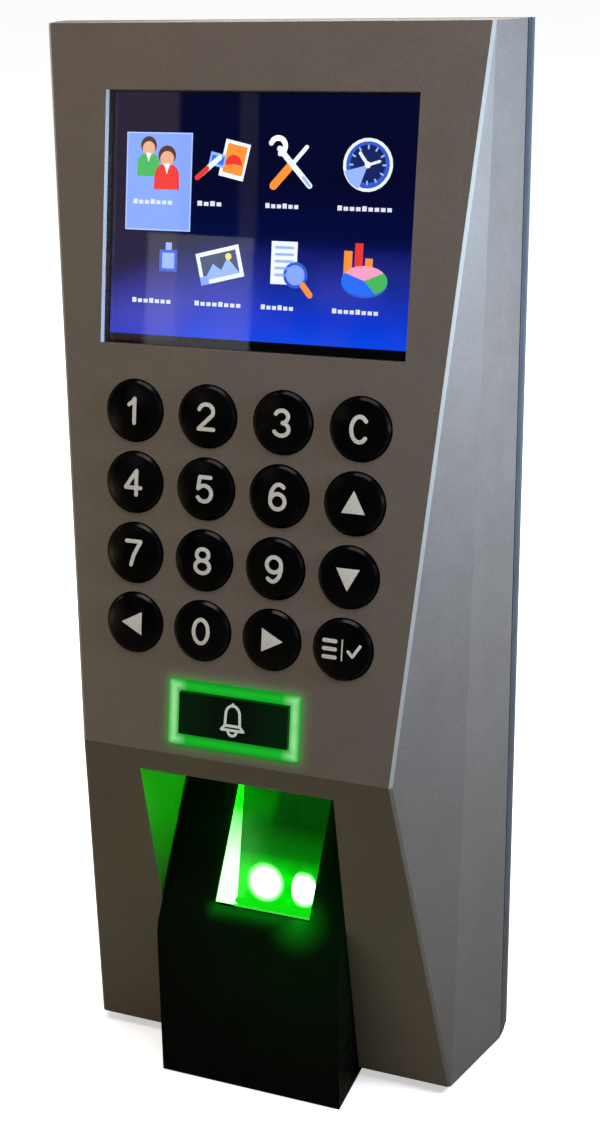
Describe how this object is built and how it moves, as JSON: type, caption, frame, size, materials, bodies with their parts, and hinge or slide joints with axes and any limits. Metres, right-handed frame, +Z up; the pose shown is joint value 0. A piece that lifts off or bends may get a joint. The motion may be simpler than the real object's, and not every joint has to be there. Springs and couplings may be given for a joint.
{
  "type": "fingerprint access terminal",
  "caption": "Wall-mounted fingerprint terminal: sloping face with a screen, round keys and a lit bell button above a finger recess and reader block.",
  "frame": {"origin": "centre of the wall plate's four screw holes, on the plate's back face, where it meets the wall", "axes": "+X to the viewer's right, +Z up, -Y out of the wall towards the viewer"},
  "size_m": [0.08, 0.0348, 0.185],
  "materials": {
    "casing_paint": "satin metallic paint on moulded plastic",
    "cover_plastic": "fine texture",
    "plate_coat": "powder coat",
    "rubber": "matt",
    "window": "polished",
    "bright_steel": "satin",
    "screen": "lit display",
    "white_plastic": "smooth",
    "ribbon": "thin flexible circuit",
    "silicone": "silicone",
    "circuit_board": "solder mask",
    "chip": "moulded epoxy",
    "capacitor": "sleeved",
    "relay": "moulded",
    "coin_cell": "satin",
    "speaker_black": "satin",
    "switch_black": "satin",
    "lamp": "lit lamp",
    "light_guide": "lit translucent guide",
    "key_gloss": "high gloss",
    "reader_black": "satin to gloss",
    "reader_glass": "polished",
    "lens_black": "satin",
    "screw_steel": "zinc plated"
  },
  "bodies": {
    "terminal": {"wall_plate": "plate_coat", "rear_cover": "cover_plastic", "gasket": "rubber", "front_casing": "casing_paint", "screen_window": "window", "lcd_frame": "bright_steel", "lcd_panel": "screen", "lcd_backlight": "white_plastic", "lcd_ribbon": "ribbon", "keypad_mat": "silicone", "main_board": "circuit_board", "board_chips": "chip", "capacitors": "capacitor", "door_relay": "relay", "backup_cell": "coin_cell", "cell_holder": "white_plastic", "wiring_headers": "white_plastic", "usb_socket": "bright_steel", "speaker": "speaker_black", "tamper_switch": "switch_black", "ring_lamps": "lamp", "light_ring": "light_guide", "sensor_housing": "reader_black", "sensor_glass": "reader_glass", "sensor_prism": "reader_glass", "sensor_lamps": "lamp", "sensor_lens": "lens_black", "sensor_board": "circuit_board", "sensor_cover": "cover_plastic", "sensor_ribbon": "ribbon", "case_screws": "screw_steel", "board_screws": "screw_steel", "sensor_screws": "screw_steel", "lock_screw": "screw_steel"},
    "key_1": {"key_1": "key_gloss"},
    "key_2": {"key_2": "key_gloss"},
    "key_3": {"key_3": "key_gloss"},
    "key_clear": {"key_clear": "key_gloss"},
    "key_4": {"key_4": "key_gloss"},
    "key_5": {"key_5": "key_gloss"},
    "key_6": {"key_6": "key_gloss"},
    "key_up": {"key_up": "key_gloss"},
    "key_7": {"key_7": "key_gloss"},
    "key_8": {"key_8": "key_gloss"},
    "key_9": {"key_9": "key_gloss"},
    "key_down": {"key_down": "key_gloss"},
    "key_left": {"key_left": "key_gloss"},
    "key_0": {"key_0": "key_gloss"},
    "key_right": {"key_right": "key_gloss"},
    "key_menu": {"key_menu": "key_gloss"},
    "bell_button": {"bell_button": "key_gloss"},
    "tamper_plunger": {"tamper_plunger": "white_plastic"}
  },
  "joints": [
    {"name": "key_1_press", "type": "slide", "parent": "terminal", "child": "key_1", "axis": [0, 0.9839, -0.1787], "range_m": [0, 0.0008], "stiffness_N_per_m": 1200, "deforming": ["keypad_mat"]},
    {"name": "key_2_press", "type": "slide", "parent": "terminal", "child": "key_2", "axis": [0, 0.9839, -0.1787], "range_m": [0, 0.0008], "stiffness_N_per_m": 1200, "deforming": ["keypad_mat"]},
    {"name": "key_3_press", "type": "slide", "parent": "terminal", "child": "key_3", "axis": [0, 0.9839, -0.1787], "range_m": [0, 0.0008], "stiffness_N_per_m": 1200, "deforming": ["keypad_mat"]},
    {"name": "key_clear_press", "type": "slide", "parent": "terminal", "child": "key_clear", "axis": [0, 0.9839, -0.1787], "range_m": [0, 0.0008], "stiffness_N_per_m": 1200, "deforming": ["keypad_mat"]},
    {"name": "key_4_press", "type": "slide", "parent": "terminal", "child": "key_4", "axis": [0, 0.9839, -0.1787], "range_m": [0, 0.0008], "stiffness_N_per_m": 1200, "deforming": ["keypad_mat"]},
    {"name": "key_5_press", "type": "slide", "parent": "terminal", "child": "key_5", "axis": [0, 0.9839, -0.1787], "range_m": [0, 0.0008], "stiffness_N_per_m": 1200, "deforming": ["keypad_mat"]},
    {"name": "key_6_press", "type": "slide", "parent": "terminal", "child": "key_6", "axis": [0, 0.9839, -0.1787], "range_m": [0, 0.0008], "stiffness_N_per_m": 1200, "deforming": ["keypad_mat"]},
    {"name": "key_up_press", "type": "slide", "parent": "terminal", "child": "key_up", "axis": [0, 0.9839, -0.1787], "range_m": [0, 0.0008], "stiffness_N_per_m": 1200, "deforming": ["keypad_mat"]},
    {"name": "key_7_press", "type": "slide", "parent": "terminal", "child": "key_7", "axis": [0, 0.9839, -0.1787], "range_m": [0, 0.0008], "stiffness_N_per_m": 1200, "deforming": ["keypad_mat"]},
    {"name": "key_8_press", "type": "slide", "parent": "terminal", "child": "key_8", "axis": [0, 0.9839, -0.1787], "range_m": [0, 0.0008], "stiffness_N_per_m": 1200, "deforming": ["keypad_mat"]},
    {"name": "key_9_press", "type": "slide", "parent": "terminal", "child": "key_9", "axis": [0, 0.9839, -0.1787], "range_m": [0, 0.0008], "stiffness_N_per_m": 1200, "deforming": ["keypad_mat"]},
    {"name": "key_down_press", "type": "slide", "parent": "terminal", "child": "key_down", "axis": [0, 0.9839, -0.1787], "range_m": [0, 0.0008], "stiffness_N_per_m": 1200, "deforming": ["keypad_mat"]},
    {"name": "key_left_press", "type": "slide", "parent": "terminal", "child": "key_left", "axis": [0, 0.9839, -0.1787], "range_m": [0, 0.0008], "stiffness_N_per_m": 1200, "deforming": ["keypad_mat"]},
    {"name": "key_0_press", "type": "slide", "parent": "terminal", "child": "key_0", "axis": [0, 0.9839, -0.1787], "range_m": [0, 0.0008], "stiffness_N_per_m": 1200, "deforming": ["keypad_mat"]},
    {"name": "key_right_press", "type": "slide", "parent": "terminal", "child": "key_right", "axis": [0, 0.9839, -0.1787], "range_m": [0, 0.0008], "stiffness_N_per_m": 1200, "deforming": ["keypad_mat"]},
    {"name": "key_menu_press", "type": "slide", "parent": "terminal", "child": "key_menu", "axis": [0, 0.9839, -0.1787], "range_m": [0, 0.0008], "stiffness_N_per_m": 1200, "deforming": ["keypad_mat"]},
    {"name": "bell_button_press", "type": "slide", "parent": "terminal", "child": "bell_button", "axis": [0, 0.9839, -0.1787], "range_m": [0, 0.0008], "stiffness_N_per_m": 1200, "deforming": ["keypad_mat"]},
    {"name": "tamper_plunger_slide", "type": "slide", "parent": "terminal", "child": "tamper_plunger", "axis": [0, -1, 0], "range_m": [0, 0.0015], "stiffness_N_per_m": 400}
  ]
}
